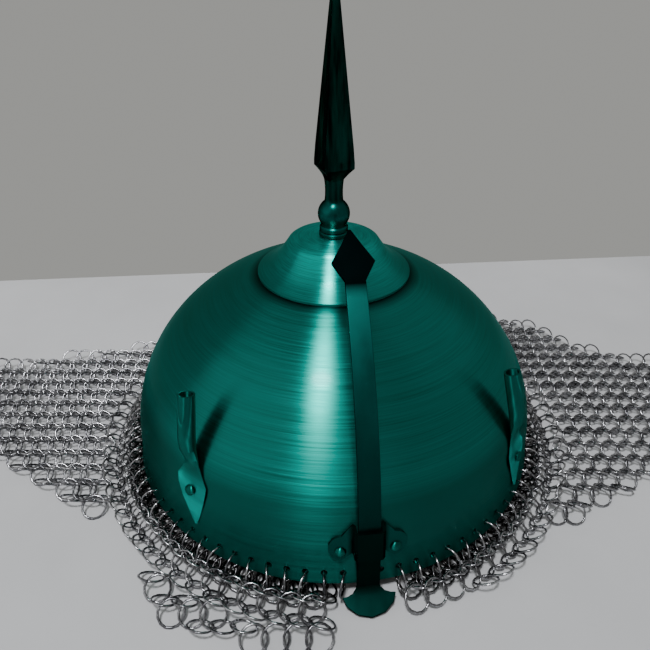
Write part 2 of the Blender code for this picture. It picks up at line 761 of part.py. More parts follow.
def main():
    clear_scene()
    green = make_material("green_metal", (0.01, 0.16, 0.13), 1.0, 0.28)
    dark = make_material("dark_green_metal", (0.005, 0.035, 0.025), 1.0, 0.30)
    steel = make_material("plated_steel", (0.55, 0.55, 0.57), 1.0, 0.30)

    helmet = make_empty("helmet_axis", (0.0, 0.0, RIM_HEIGHT))
    pivot = make_empty("nasal_arc_centre", (0.0, -NASAL_ARC_OFFSET, RIM_HEIGHT + NASAL_ARC_RISE))

    bracket_seats = {"left": seat_matrix(-BRACKET_RIVET_DEGREES, BRACKET_RIVET_RISE),
                     "right": seat_matrix(BRACKET_RIVET_DEGREES, BRACKET_RIVET_RISE)}
    bracket_holes = rivet_hole_cutter("bracket_rivet_cutter", bracket_seats.values(), helmet)
    socket_seats = {socket.side: socket_seat(socket, SOCKET_RIVET_RISE) for socket in SOCKETS}
    socket_holes = {side: rivet_hole_cutter("socket_rivet_cutter_" + side, [seat], helmet)
                    for side, seat in socket_seats.items()}

    make_bowl(green, helmet, rim_hole_cutter(helmet), [bracket_holes, *socket_holes.values()])
    make_crown_plate(green, helmet)
    make_spike(dark, helmet)
    make_spike_nut(steel, helmet)
    make_nasal_bar(dark, pivot)
    make_nasal_bracket(dark, helmet, bracket_holes)
    for side, seat in bracket_seats.items():
        make_rivet("bracket_rivet_" + side, seat, BRACKET_SHEET, green, helmet)
    for socket in SOCKETS:
        make_plume_tube(socket, green, helmet, socket_holes[socket.side])
        make_rivet("plume_rivet_" + socket.side, socket_seats[socket.side], SOCKET_LEAF_SHEET, green, helmet)
    make_mail(steel)


main()
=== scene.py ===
import math
import random

import bpy
import numpy as np
from mathutils import Matrix, Vector


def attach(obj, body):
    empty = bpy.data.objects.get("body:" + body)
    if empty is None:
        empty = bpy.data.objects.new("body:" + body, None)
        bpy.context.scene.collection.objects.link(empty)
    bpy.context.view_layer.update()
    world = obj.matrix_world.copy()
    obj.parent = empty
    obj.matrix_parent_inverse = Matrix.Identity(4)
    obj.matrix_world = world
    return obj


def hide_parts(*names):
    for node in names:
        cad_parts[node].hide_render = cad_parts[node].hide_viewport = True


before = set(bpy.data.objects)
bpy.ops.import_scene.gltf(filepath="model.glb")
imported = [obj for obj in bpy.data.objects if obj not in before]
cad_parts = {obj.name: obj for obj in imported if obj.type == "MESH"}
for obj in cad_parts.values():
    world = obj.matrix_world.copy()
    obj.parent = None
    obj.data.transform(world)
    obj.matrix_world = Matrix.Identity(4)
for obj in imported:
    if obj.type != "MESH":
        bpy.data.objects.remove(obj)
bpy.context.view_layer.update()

rimHeight = 0.007  # the helmet stands on its mail, this far above the table
helmetBody = "helmet"
nasalBody = "nasal"
mergeDistance = 0.00002


# small tools

def deselectAll():
    if bpy.context.object and bpy.context.object.mode != "OBJECT":
        bpy.ops.object.mode_set(mode="OBJECT")
    bpy.ops.object.select_all(action="DESELECT")


def makeActive(piece):
    deselectAll()
    piece.select_set(True)
    bpy.context.view_layer.objects.active = piece


def applyModifier(piece, kind, **settings):
    makeActive(piece)
    modifier = piece.modifiers.new(kind.title(), kind)
    for key, value in settings.items():
        setattr(modifier, key, value)
    bpy.ops.object.modifier_apply(modifier=modifier.name)


def smoothByAngle(piece, degrees):
    makeActive(piece)
    bpy.ops.object.shade_smooth_by_angle(angle=math.radians(degrees))


def softLine(points, steps):
    # rounds a line of points off into a smooth one that still passes through them
    padded = [points[0]] + list(points) + [points[-1]]
    line = []
    for before, start, end, after in zip(padded, padded[1:], padded[2:], padded[3:]):
        for step in range(steps):
            t = step / steps
            line.append(tuple(
                0.5 * (2 * b + (c - a) * t + (2 * a - 5 * b + 4 * c - d) * t * t
                       + (3 * b - a - 3 * c + d) * t * t * t)
                for a, b, c, d in zip(before, start, end, after)))
    return line + [tuple(points[-1])]


def drawLine(name, points):
    # a plane shrunk to one point, then extruded from place to place
    deselectAll()
    bpy.ops.mesh.primitive_plane_add(size=0.001, location=(0, 0, 0))
    piece = bpy.context.object
    piece.name = name
    bpy.ops.object.mode_set(mode="EDIT")
    bpy.ops.mesh.select_all(action="SELECT")
    bpy.ops.mesh.merge(type="CENTER")
    bpy.ops.transform.translate(value=points[0])
    here = Vector(points[0])
    for point in points[1:]:
        step = Vector(point) - here
        bpy.ops.mesh.extrude_region_move(TRANSFORM_OT_translate={"value": step})
        here = Vector(point)
    return piece


def turnOnAxis(name, section, steps):
    # spins a section of radius and height about the helmet's axis, as on a lathe
    piece = drawLine(name, [(radius, 0.0, height) for radius, height in section])
    bpy.ops.mesh.select_all(action="SELECT")
    bpy.ops.mesh.spin(steps=steps, angle=math.tau, center=(0, 0, 0), axis=(0, 0, 1))
    bpy.ops.mesh.select_all(action="SELECT")
    bpy.ops.mesh.remove_doubles(threshold=mergeDistance)
    bpy.ops.mesh.normals_make_consistent(inside=False)
    bpy.ops.object.mode_set(mode="OBJECT")
    return piece


def copyNode(name, newName):
    # a merged copy of a CAD node, for edges that catch the light
    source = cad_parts[name]
    piece = bpy.data.objects.new(newName, source.data.copy())
    bpy.context.collection.objects.link(piece)
    makeActive(piece)
    bpy.ops.object.mode_set(mode="EDIT")
    bpy.ops.mesh.select_all(action="SELECT")
    bpy.ops.mesh.remove_doubles(threshold=mergeDistance)
    bpy.ops.mesh.tris_convert_to_quads()
    bpy.ops.object.mode_set(mode="OBJECT")
    if piece.data.has_custom_normals:
        bpy.ops.mesh.customdata_custom_splitnormals_clear()
    return piece


def finishPiece(piece, material, body, slot, *nodes):
    piece.data.materials.clear()
    piece.data.materials.append(material)
    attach(piece, body)
    if nodes:
        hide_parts(*nodes)


# materials

class Wire:
    # a shader socket that can be added, subtracted, multiplied, divided and raised to a power

    def __init__(self, sheet, socket):
        self.sheet = sheet
        self.socket = socket

    def maths(self, operation, *values):
        return self.sheet.node("Math", {"operation": operation}, dict(enumerate(values)))

    def __add__(self, other):
        return self.maths("ADD", self, other)

    def __mul__(self, other):
        return self.maths("MULTIPLY", self, other)

    def __sub__(self, other):
        return self.maths("SUBTRACT", self, other)

    def __truediv__(self, other):
        return self.maths("DIVIDE", self, other)

    def __pow__(self, other):
        return self.maths("POWER", self, other)


class Sheet:
    # one material and its nodes

    def __init__(self, name, **constants):
        self.material = bpy.data.materials.new(name)
        self.material.use_nodes = True
        self.tree = self.material.node_tree
        self.shader = self.tree.nodes["Principled BSDF"]
        for key, value in constants.items():
            self.shader.inputs[key.replace("_", " ")].default_value = value

    def node(self, kind, settings=None, inputs=None, output=0):
        made = self.tree.nodes.new("ShaderNode" + kind)
        for key, value in (settings or {}).items():
            setattr(made, key, value)
        for key, value in (inputs or {}).items():
            if isinstance(value, Wire):
                self.tree.links.new(value.socket, made.inputs[key])
            else:
                made.inputs[key].default_value = value
        return Wire(self, made.outputs[output])

    def place(self):
        return self.node("TexCoord", output="Object")

    def axes(self, vector):
        split = self.tree.nodes.new("ShaderNodeSeparateXYZ")
        self.tree.links.new(vector.socket, split.inputs[0])
        return [Wire(self, socket) for socket in split.outputs]

    def vector(self, x, y, z):
        return self.node("CombineXYZ", {}, {0: x, 1: y, 2: z})

    def noise(self, vector, scale, detail=2.0, roughness=0.5):
        return self.node("TexNoise", {}, {"Vector": vector, "Scale": scale, "Detail": detail,
                                          "Roughness": roughness})

    def spread(self, value, low, high, newLow=0.0, newHigh=1.0):
        return self.node("MapRange", {}, {0: value, 1: low, 2: high, 3: newLow, 4: newHigh})

    def mix(self, factor, first, second):
        return self.node("Mix", {"data_type": "RGBA"}, {"Factor": factor, 6: first, 7: second}, output=2)

    def bump(self, height, strength, distance):
        return self.node("Bump", {}, {"Height": height, "Strength": strength, "Distance": distance})

    def feed(self, **links):
        for key, wire in links.items():
            self.tree.links.new(wire.socket, self.shader.inputs[key.replace("_", " ")])
        return self.material


candyGreen = {
    "deep": (0.0, 0.135, 0.106, 1.0),
    "bright": (0.0, 0.225, 0.190, 1.0),
    # painted shade on the lower bowl, the crown's foot and the tubes above their leaves
    "shaded": (0.0, 0.088, 0.070, 1.0),
    # painted light on the crown top and the plume tubes' leaves
    "litGreen": (0.002, 0.540, 0.470, 1.0),
    # painted shadow under the crown plate's lip
    "dirtAndShadow": (0.0, 0.022, 0.019, 1.0),
    "worn": (0.02, 0.17, 0.15, 1.0),
    "grazing": (0.05, 0.55, 0.51, 1.0),
    "roughness": (0.27, 0.50),
    "lineScale": 90.0,
    "bandScale": 15.0,
    "cloudScale": 14.0,
    "scuffScale": (7.0, 26.0),  # around the helmet and up it
    "scuffStrength": 0.5,
    "lineHeight": 0.00005,
}


def brushedCandyMaterial(name, domeCentre, paintedShading, paintedLightFrom=(1.0, 2.0), lipShadow=(1.0, 2.0)):
    # circles of brushing from the lathe under a clear green lacquer; "paintedShading" is two heights and
    # the share of the full tone at each, the rest being painted shade, "paintedLightFrom" the heights
    # between which it turns pale with painted light, and "lipShadow" those between which it turns dark
    # with a painted shadow under the crown plate's lip
    sheet = Sheet(name, Metallic=1.0, Anisotropic=0.95, Anisotropic_Rotation=0.25,
                  Specular_Tint=candyGreen["grazing"],
                  Coat_Weight=0.05, Coat_Roughness=0.12, Coat_IOR=1.5)
    place = sheet.place()
    x, y, z = sheet.axes(place)
    radius = (x * x + y * y) ** 0.5
    climb = sheet.node("Math", {"operation": "ARCTAN2"}, {0: z - domeCentre, 1: radius})
    turnX = x / (radius + 0.0001)
    turnY = y / (radius + 0.0001)
    fine = sheet.noise(sheet.vector(turnX * 0.9, turnY * 0.9, climb * candyGreen["lineScale"]),
                       2.0, 2.0, 0.6)
    wide = sheet.noise(sheet.vector(turnX * 0.8, turnY * 0.8, climb * candyGreen["bandScale"]),
                       1.6, 3.0, 0.6)
    cloud = sheet.noise(place, candyGreen["cloudScale"], 3.0, 0.6)
    shade = sheet.spread(fine * 0.8 + wide * 0.2, 0.30, 0.70)
    colour = sheet.mix(shade, candyGreen["deep"], candyGreen["bright"])
    # painted shade, mixed in between the two heights by the given shares
    colour = sheet.mix(sheet.spread(z, *paintedShading), candyGreen["shaded"], colour)
    # painted light: paler between the heights of the light pair
    colour = sheet.mix(sheet.spread(z, *paintedLightFrom) * (shade * 0.8 + 0.2), colour, candyGreen["litGreen"])
    # painted shadow on the bowl under the crown plate's lip
    colour = sheet.mix(sheet.spread(z, *lipShadow), colour, candyGreen["dirtAndShadow"])
    scuffAround, scuffUp = candyGreen["scuffScale"]
    scuffs = sheet.vector(turnX * scuffAround, turnY * scuffAround, climb * scuffUp)
    scuff = sheet.spread(sheet.noise(scuffs, 3.0, 5.0, 0.7), 0.64, 0.74, 0.0, candyGreen["scuffStrength"])
    colour = sheet.mix(scuff, colour, candyGreen["worn"])
    rough = sheet.spread(fine * 0.6 + cloud * 0.4, 0.3, 0.7, *candyGreen["roughness"])
    normal = sheet.bump(fine + wide * 0.1, 0.5, candyGreen["lineHeight"])
    return sheet.feed(Base_Color=colour, Roughness=rough, Normal=normal)


darkGreen = {
    "black": (0.0003, 0.0015, 0.0016, 1.0),
    "low": (0.0004, 0.013, 0.0105, 1.0),
    "blade": (0.0010, 0.045, 0.034, 1.0),
    "plate": (0.0010, 0.070, 0.058, 1.0),
    "bright": (0.0, 0.095, 0.082, 1.0),
    "edge": (0.01, 0.16, 0.14, 1.0),
    "grazing": (0.02, 0.20, 0.17, 1.0),
    "satin": (0.42, 0.60),
    "polished": (0.24, 0.42),
    "patchScale": 90.0,
    "speckScale": 420.0,
    "speckStrength": 0.4,
    "markHeight": 0.00004,
}


def darkGreenMaterial(name, along, lowTone, highTone, greenStops, roughness, bridge=(-1.0, 0.0)):
    # draw-filed steel under dark green lacquer; "along" stretches the file marks, and "greenStops"
    # are heights where painted light turns it green, then where it fades back to the dark tones again;
    # nearer the middle line than "bridge" it is as dark as the bar that passes there
    sheet = Sheet(name, Metallic=1.0, Specular_Tint=darkGreen["grazing"],
                  Coat_Weight=0.01, Coat_Roughness=0.1, Coat_IOR=1.5)
    place = sheet.place()
    x, y, z = sheet.axes(place)
    marks = sheet.noise(sheet.vector(x * along[0], y * along[1], z * along[2]), 1.0, 4.0, 0.6)
    patches = sheet.noise(place, darkGreen["patchScale"], 4.0, 0.6)
    start, full, fade, end = greenStops
    # the green band is painted light
    litGreen = sheet.spread(z, start, full) * sheet.spread(z, fade, end, 1.0, 0.0)
    tone = sheet.spread(marks * 0.5 + patches * 0.5, 0.30, 0.70, 0.65, 1.0)
    streaks = sheet.mix(sheet.spread(marks, 0.36, 0.62), darkGreen["black"], darkGreen[highTone])
    colour = sheet.mix(sheet.spread(z, fade, end), darkGreen[lowTone], streaks)
    colour = sheet.mix(litGreen * tone, colour, darkGreen["bright"])
    grain = sheet.noise(place, darkGreen["speckScale"], 3.0, 0.6)
    specks = sheet.spread(grain, 0.68, 0.78, 0.0, darkGreen["speckStrength"]) * litGreen
    colour = sheet.mix(specks, colour, darkGreen["edge"])
    colour = sheet.mix(sheet.spread((x * x) ** 0.5, *bridge), darkGreen["low"], colour)
    rough = sheet.spread(marks, 0.3, 0.7, *roughness)
    normal = sheet.bump(marks + patches * 0.5, 0.25, darkGreen["markHeight"])
    return sheet.feed(Base_Color=colour, Roughness=rough, Normal=normal)


zincSteel = {
    "bright": (0.44, 0.44, 0.46, 1.0),
    "dull": (0.09, 0.09, 0.10, 1.0),
    # grime, and the painted shade under the rim
    "grimeAndShade": (0.020, 0.018, 0.018, 1.0),
    "roughness": (0.14, 0.30),
    "toneScale": 95.0,
    "rubScale": 700.0,
    "dirtScale": 260.0,
    "dirtStrength": 0.8,
    "rimShadeRadius": (0.108, 0.117),  # the painted shade on the heap under the rim fades out between these
    "rimShadeHeight": (0.0055, 0.0085),
    "rimShadeStrength": 0.85,
    "rubHeight": 0.00005,
}


def zincMaterial(name):
    # zinc-plated wire, bright where it is handled, grey where the rings rub, with spots of grime, and
    # dark with painted shade under the rim
    sheet = Sheet(name, Metallic=1.0)
    place = sheet.place()
    ringTone = sheet.noise(place, zincSteel["toneScale"], 2.0, 0.5)
    rubbed = sheet.noise(place, zincSteel["rubScale"], 3.0, 0.6)
    shine = sheet.spread(ringTone * 0.6 + rubbed * 0.4, 0.38, 0.62)
    colour = sheet.mix(shine, zincSteel["dull"], zincSteel["bright"])
    soil = sheet.noise(place, zincSteel["dirtScale"], 4.0, 0.65)
    dirtAndShadow = sheet.spread(soil, 0.58, 0.72, 0.0, zincSteel["dirtStrength"])
    colour = sheet.mix(dirtAndShadow, colour, zincSteel["grimeAndShade"])
    x, y, z = sheet.axes(place)
    # painted shade on the rings heaped under the rim
    near = sheet.spread((x * x + y * y) ** 0.5, *zincSteel["rimShadeRadius"], zincSteel["rimShadeStrength"], 0.0)
    low = sheet.spread(z, *zincSteel["rimShadeHeight"], 1.0, 0.0)
    colour = sheet.mix(near * low, colour, zincSteel["grimeAndShade"])
    rough = sheet.spread(rubbed, 0.3, 0.7, *zincSteel["roughness"])
    normal = sheet.bump(rubbed, 0.25, zincSteel["rubHeight"])
    return sheet.feed(Base_Color=colour, Roughness=rough, Normal=normal)


tableCoat = {
    "tone": (0.545, 0.548, 0.565),
    "darkest": 0.93,
    "palest": 1.05,
    "roughness": 0.75,
    "cloudScale": 9.0,
    "nearAndFar": (-0.45, 0.15),
    "nearShade": 0.62,
}


def paintMaterial(name):
    # matt paint, a little darker towards the front with painted shade
    sheet = Sheet(name, Roughness=tableCoat["roughness"])
    place = sheet.place()
    cloud = sheet.noise(place, tableCoat["cloudScale"], 4.0, 0.6)
    near = sheet.spread(sheet.axes(place)[1], *tableCoat["nearAndFar"], tableCoat["nearShade"], 1.0)
    low = tuple(tableCoat["darkest"] * part for part in tableCoat["tone"]) + (1.0,)
    high = tuple(tableCoat["palest"] * part for part in tableCoat["tone"]) + (1.0,)
    colour = sheet.mix(sheet.spread(cloud, 0.3, 0.7), low, high)
    return sheet.feed(Base_Color=sheet.mix(near, (0.0, 0.0, 0.0, 1.0), colour))


# heights, and distances from the middle line, are in metres
barMarks = (120.0, 40.0, 40.0)
bladeMarks = (260.0, 260.0, 22.0)
aboveAll = (0.50, 0.60, 0.70, 0.80)

# the bowl is darker low down with painted shade, and has a painted shadow under the crown plate's lip
bowlGreen = brushedCandyMaterial("bowlGreen", domeCentre=0.018, paintedShading=(0.043, 0.052, 0.1, 1.0),
                                 lipShadow=(0.0958, 0.0974))
# the crown is a little darker at its foot with painted shade and paler upwards with painted light
crownGreen = brushedCandyMaterial("crownGreen", domeCentre=0.060, paintedShading=(0.098, 0.106, 0.8, 1.0),
                                  paintedLightFrom=(0.096, 0.1160))
bracketGreen = darkGreenMaterial("bracketGreen", barMarks, lowTone="plate", highTone="plate",
                                 greenStops=aboveAll, roughness=darkGreen["satin"],
                                 bridge=(0.0065, 0.0085))
# the green of the spike's collar and ball is painted light
spikeGreen = darkGreenMaterial("spikeGreen", bladeMarks, lowTone="low", highTone="blade",
                               greenStops=(0.112, 0.116, 0.1285, 0.1330),
                               roughness=darkGreen["polished"])
# the tubes are darker above with painted shade, their leaves paler below with painted light
tubeGreen = brushedCandyMaterial("tubeGreen", domeCentre=-0.4, paintedShading=(0.040, 0.052, 1.0, 0.3),
                                 paintedLightFrom=(0.046, 0.036))
# nasal bar: the green band up its middle is painted light, the dark foot painted shade, and the black
# above the band a painted dark reflection on the lozenge
nasalGreen = darkGreenMaterial("nasalGreen", barMarks, lowTone="low", highTone="black",
                               greenStops=(0.022, 0.105, 0.117, 0.121), roughness=darkGreen["satin"])
ringZinc = zincMaterial("ringZinc")
tablePaint = paintMaterial("tablePaint")
print("materials made")


# bowl, spun from sheet and drilled along its rim

bowl = {
    "rimRadius": 0.104,
    "bandTop": (0.102, 0.018),  # radius and height where the straight band ends
    "rise": 0.085,
    "wall": 0.0012,
    "crownHole": 0.0033,
    "steps": 168,
    "rows": 34,
    "holes": 84,
    "holeRadius": 0.00145,
    "holeHeight": 0.0125,
    "firstHole": -1.2,  # degrees from the nasal
    "drillFaces": 10,
    "drillLength": 0.008,
    "drillOut": 0.0005,  # the drills' middles lie this far outside the band's top
    "crease": 35,
}


def bowlSide(inset):
    width = bowl["bandTop"][0] - inset
    height = bowl["rise"] - inset
    last = math.acos(bowl["crownHole"] / width)
    side = [(bowl["rimRadius"] - inset, rimHeight),
            ((bowl["rimRadius"] + bowl["bandTop"][0]) / 2 - inset, (rimHeight + bowl["bandTop"][1]) / 2)]
    for row in range(bowl["rows"] + 1):
        angle = last * row / bowl["rows"]
        side.append((width * math.cos(angle), bowl["bandTop"][1] + height * math.sin(angle)))
    return side


def around(degrees, radius, height):
    # degrees from the nasal, positive to the wearer's left
    angle = math.radians(degrees)
    return Vector((radius * math.sin(angle), -radius * math.cos(angle), height))


def makeBowl():
    outside = bowlSide(0.0)
    inside = bowlSide(bowl["wall"])
    piece = turnOnAxis("bowlShell", outside + inside[::-1] + outside[:1], bowl["steps"])
    drills = []
    for index in range(bowl["holes"]):
        degrees = bowl["firstHole"] + 360 * index / bowl["holes"]
        deselectAll()
        bpy.ops.mesh.primitive_cylinder_add(
            vertices=bowl["drillFaces"], radius=bowl["holeRadius"], depth=bowl["drillLength"],
            location=around(degrees, bowl["bandTop"][0] + bowl["drillOut"], bowl["holeHeight"]),
            rotation=(math.pi / 2, 0, math.radians(degrees)))
        drills.append(bpy.context.object)
    deselectAll()
    for drill in drills:
        drill.select_set(True)
    bpy.context.view_layer.objects.active = drills[0]
    bpy.ops.object.join()
    applyModifier(piece, "BOOLEAN", object=drills[0], operation="DIFFERENCE", solver="EXACT")
    bpy.data.objects.remove(drills[0])
    smoothByAngle(piece, bowl["crease"])
    finishPiece(piece, bowlGreen, helmetBody, "green_metal", "bowl")


makeBowl()
print("bowl made")


# crown plate

crown = {
    "lip": (0.0360, 0.09785),
    "sheet": 0.0010,
    "holeRadius": 0.0033,
    "insideShift": 0.0007,
    "lineSteps": 4,
    "steps": 128,
    "crease": 40,
    "line": [(0.0360, 0.09885), (0.0329, 0.1006), (0.0295, 0.1028), (0.0261, 0.1060), (0.0234, 0.1095),
             (0.0216, 0.1121), (0.0206, 0.1134), (0.0187, 0.1143), (0.0141, 0.1149), (0.0090, 0.11505),
             (0.0033, 0.11505)],
}


def makeCrown():
    outside = softLine(crown["line"], crown["lineSteps"])
    inside = [(max(crown["holeRadius"], radius - crown["insideShift"]), height - crown["sheet"])
              for radius, height in outside[3:]]
    lipRadius, lipHeight = crown["lip"]
    lip = [(lipRadius - crown["sheet"], lipHeight), (lipRadius, lipHeight)]
    piece = turnOnAxis("crownCap", outside + inside[::-1] + lip + outside[:1], crown["steps"])
    smoothByAngle(piece, crown["crease"])
    finishPiece(piece, crownGreen, helmetBody, "green_metal", "crown_plate")


makeCrown()
print("crown made")


# spike: stud, collar, ball and neck are turned, the blade is filed square with hollow faces

spike = {
    "stud": (0.0030, 0.0948),
    "seat": 0.11535,
    "collar": [(0.0059, 0.0), (0.00675, 0.0004), (0.00675, 0.0016), (0.0061, 0.0021), (0.0065, 0.0026),
               (0.0065, 0.0042), (0.0058, 0.0048)],
    "ballCentre": 0.12555,
    "ballRadius": 0.0073,
    "ballFoot": 0.0059,  # height over the seat where the ball starts
    "ballRows": 12,
    "neckRadius": 0.0044,
    "neckLength": 0.0102,
    "neckWaist": ((0.06, 0.95), (0.25, 0.91), (0.5, 0.90), (0.75, 0.93), (1.0, 1.0)),  # up, width
    "flare": 0.0050,  # height over which the neck opens out to the blade's corners
    "flareRows": (0.25, 0.5, 0.75, 0.95, 1.0),
    "flareCurve": 1.4,
    "bladeHalf": 0.0067,
    "bladeTurn": 15.0,  # degrees
    "bladeRows": 14,
    "edgeRise": 0.0022,
    "hollow": 0.13,
    "shoulder": 0.0037,
    "shoulderShare": 0.985,
    "pointHalf": 0.0005,
    "bladeTip": 0.22057,
    "sunk": 0.0002,  # the blade starts this far inside the neck
    "steps": 48,
    "crease": 35,
}


def spikeSection():
    seat = spike["seat"]
    section = [(0.0, spike["stud"][1]), (spike["stud"][0], spike["stud"][1]), (spike["stud"][0], seat)]
    section += [(radius, seat + height) for radius, height in spike["collar"]]
    lowest = -math.asin((spike["ballCentre"] - seat - spike["ballFoot"]) / spike["ballRadius"])
    highest = math.acos(spike["neckRadius"] / spike["ballRadius"])
    for row in range(spike["ballRows"] + 1):
        angle = lowest + (highest - lowest) * row / spike["ballRows"]
        section.append((spike["ballRadius"] * math.cos(angle),
                        spike["ballCentre"] + spike["ballRadius"] * math.sin(angle)))
    neck = section[-1][1]
    for share, width in spike["neckWaist"]:
        section.append((spike["neckRadius"] * width, neck + share * spike["neckLength"]))
    section.append((0.0, neck + spike["neckLength"]))
    return section, neck + spike["neckLength"]


def makeSpike():
    section, neckTop = spikeSection()
    turned = turnOnAxis("spikeTurned", section, spike["steps"])
    half = spike["bladeHalf"]
    start = neckTop - spike["sunk"]
    deselectAll()
    bpy.ops.mesh.primitive_circle_add(vertices=spike["steps"], radius=spike["neckRadius"],
                                      fill_type="NGON", location=(0, 0, start))
    blade = bpy.context.object
    base = neckTop + spike["flare"]
    collar = base + spike["shoulder"]
    bladeTurn = math.radians(spike["bladeTurn"])
    # each band has a height, a half width, its squareness and its hollowness
    bands = [(start, spike["neckRadius"], 0.0, 0.0)]
    for share in spike["flareRows"]:
        width = spike["neckRadius"] + (half - spike["neckRadius"]) * share ** spike["flareCurve"]
        bands.append((neckTop + spike["flare"] * share, width, share ** 0.5, 0.0))
    bands += [(base + spike["edgeRise"], half, 1.0, 0.1),
              (collar, half * spike["shoulderShare"], 1.0, 1.0)]
    for row in range(1, spike["bladeRows"] + 1):
        share = row / spike["bladeRows"]
        bands.append((collar + (spike["bladeTip"] - collar) * share,
                      half * (1 - share) + spike["pointHalf"] * share, 1.0, 1.0))
    bpy.ops.object.mode_set(mode="EDIT")
    bpy.ops.mesh.select_all(action="SELECT")
    for lower, upper in zip(bands, bands[1:]):
        bpy.ops.mesh.extrude_region_move(TRANSFORM_OT_translate={"value": (0, 0, upper[0] - lower[0])})
    bpy.ops.object.mode_set(mode="OBJECT")
    heights = np.array([band[0] for band in bands])
    for corner in blade.data.vertices:  # each band is pressed from round to a square with hollow sides
        z = corner.co.z + neckTop - spike["sunk"]
        band = bands[int(np.argmin(abs(heights - z)))]
        angle = math.atan2(corner.co.y, corner.co.x)
        turn = angle + bladeTurn
        square = 1 / max(abs(math.cos(angle)), abs(math.sin(angle)))
        square *= 1 - band[3] * spike["hollow"] * math.cos(2 * angle) ** 2
        reach = band[1] * (1 + band[2] * (square - 1))
        corner.co.x = reach * math.cos(turn)
        corner.co.y = reach * math.sin(turn)
        corner.co.z = z
    blade.location = (0, 0, 0)
    deselectAll()
    turned.select_set(True)
    blade.select_set(True)
    bpy.context.view_layer.objects.active = turned
    bpy.ops.object.join()
    bpy.ops.object.mode_set(mode="EDIT")
    bpy.ops.mesh.select_all(action="SELECT")
    bpy.ops.mesh.normals_make_consistent(inside=False)
    bpy.ops.object.mode_set(mode="OBJECT")
    smoothByAngle(turned, spike["crease"])
    turned.name = "spikeBlade"
    finishPiece(turned, spikeGreen, helmetBody, "dark_green_metal", "spike")


makeSpike()
print("spike made")


# fittings: copies of the solids with their edges rounded off; each has a name, a material, a body,
# a slot and the width of its rounded edges

fittings = {
    "nasal_bar": ("nasalBar", nasalGreen, nasalBody, "dark_green_metal", 0.00035),
    "nasal_bracket": ("browBracket", bracketGreen, helmetBody, "dark_green_metal", 0.00025),
    "bracket_rivet_left": ("browRivetLeft", bowlGreen, helmetBody, "green_metal", 0.0001),
    "bracket_rivet_right": ("browRivetRight", bowlGreen, helmetBody, "green_metal", 0.0001),
    "plume_tube_left": ("plumeTubeLeft", tubeGreen, helmetBody, "green_metal", 0.0002),
    "plume_tube_right": ("plumeTubeRight", tubeGreen, helmetBody, "green_metal", 0.0002),
    "plume_rivet_left": ("plumeRivetLeft", bowlGreen, helmetBody, "green_metal", 0.0001),
    "plume_rivet_right": ("plumeRivetRight", bowlGreen, helmetBody, "green_metal", 0.0001),
    "spike_nut": ("studNut", ringZinc, helmetBody, "plated_steel", 0.0002),
}

rounding = {
    "segments": 2,
    "sharperThan": 38,  # degrees
    "crease": 40,
}


def makeFittings():
    for node, (name, material, body, slot, edge) in fittings.items():
        piece = copyNode(node, name)
        applyModifier(piece, "BEVEL", width=edge, segments=rounding["segments"], limit_method="ANGLE",
                      angle_limit=math.radians(rounding["sharperThan"]))
        smoothByAngle(piece, rounding["crease"])
        applyModifier(piece, "WEIGHTED_NORMAL", keep_sharp=True)
        finishPiece(piece, material, body, slot, node)


makeFittings()
print("fittings made")


# mail: four-in-one rings lying flat, and the rings that hang it in the rim holes

mail = {
    "ringRadius": 0.0053,  # to the middle of the wire
    "wireRadius": 0.00054,
    "ringFaces": (14, 4),
    "pitch": 0.0084,
    "rowPitch": 0.0050,
    "rowTurn": -8.0,  # degrees
    "lean": 38.0,
    "roll": 12.0,
    "hemRadii": (0.1010, 0.1042, 0.1070, 0.1092, 0.1140, 0.1190),
    "hemLeans": (14.0, -22.0, 26.0, -38.0, 38.0, -38.0),
    "hemRises": (0.0, 0.0004, 0.0006, 0.0014, 0.0008, 0.0002),
    "rows": 34,
    "columns": 40,
    "swayX": ((0.0004, 9.0, 62.0, 0.0), (0.00015, -31.0, 140.0, 0.0)),  # size, along, up, start
    "swayY": ((0.00045, 48.0, 0.0, 1.0), (0.00015, 118.0, 23.0, 0.0)),
    "flatSpread": 1.0,  # degrees of chance in each flat ring's turn, lean and roll
    "liftSpread": 0.0001,
    "hangRadius": 0.1052,  # where the rings in the rim holes have their middles
    "hangHeight": 0.0084,
    "hangSpread": 22.0,
    "nasalHalf": 4.5,  # no ring hangs within so many degrees of the nasal
    "hemSpread": 2.0,
    "hemReachSpread": 0.0002,
    "hemTilt": 6.0,  # added to a lean when a ring's height is found, for its roll
    "startRadius": 0.1232,  # the flat rings start this far out
    "edge": 0.0036,  # how near the outline a ring's middle may lie
    "frontEdge": -0.0010,  # the same in front of the helmet
    "frontStart": -0.088,
    "slotHalf": 0.0172,  # half the gap that the nasal passes through
    "seed": 7,
    "outline": [(-0.0129, -0.1194), (-0.0329, -0.1250), (-0.0715, -0.1125), (-0.0915, -0.09125),
                (-0.1001, -0.0719), (-0.1673, -0.0200), (-0.2860, 0.07125), (-0.1544, 0.0825),
                (-0.1158, 0.08875), (-0.0629, 0.1175), (0.0, 0.1250), (0.0715, 0.11875),
                (0.1502, 0.0825), (0.1759, 0.0481), (0.2860, -0.00875), (0.1502, -0.0675),
                (0.0907, -0.08875), (0.0523, -0.1084), (0.0320, -0.1095), (0.0129, -0.1148)],
}


def depthInside(point, outline):
    # how far a point lies inside the outline, negative outside
    x, y = point
    inside = False
    nearest = 1.0
    for (ax, ay), (bx, by) in zip(outline, outline[1:] + outline[:1]):
        if (ay > y) != (by > y) and x < ax + (y - ay) / (by - ay) * (bx - ax):
            inside = not inside
        edge = Vector((bx - ax, by - ay))
        share = max(0.0, min(1.0, Vector((x - ax, y - ay)).dot(edge) / edge.length_squared))
        nearest = min(nearest, math.hypot(x - ax - share * edge.x, y - ay - share * edge.y))
    return nearest if inside else -nearest


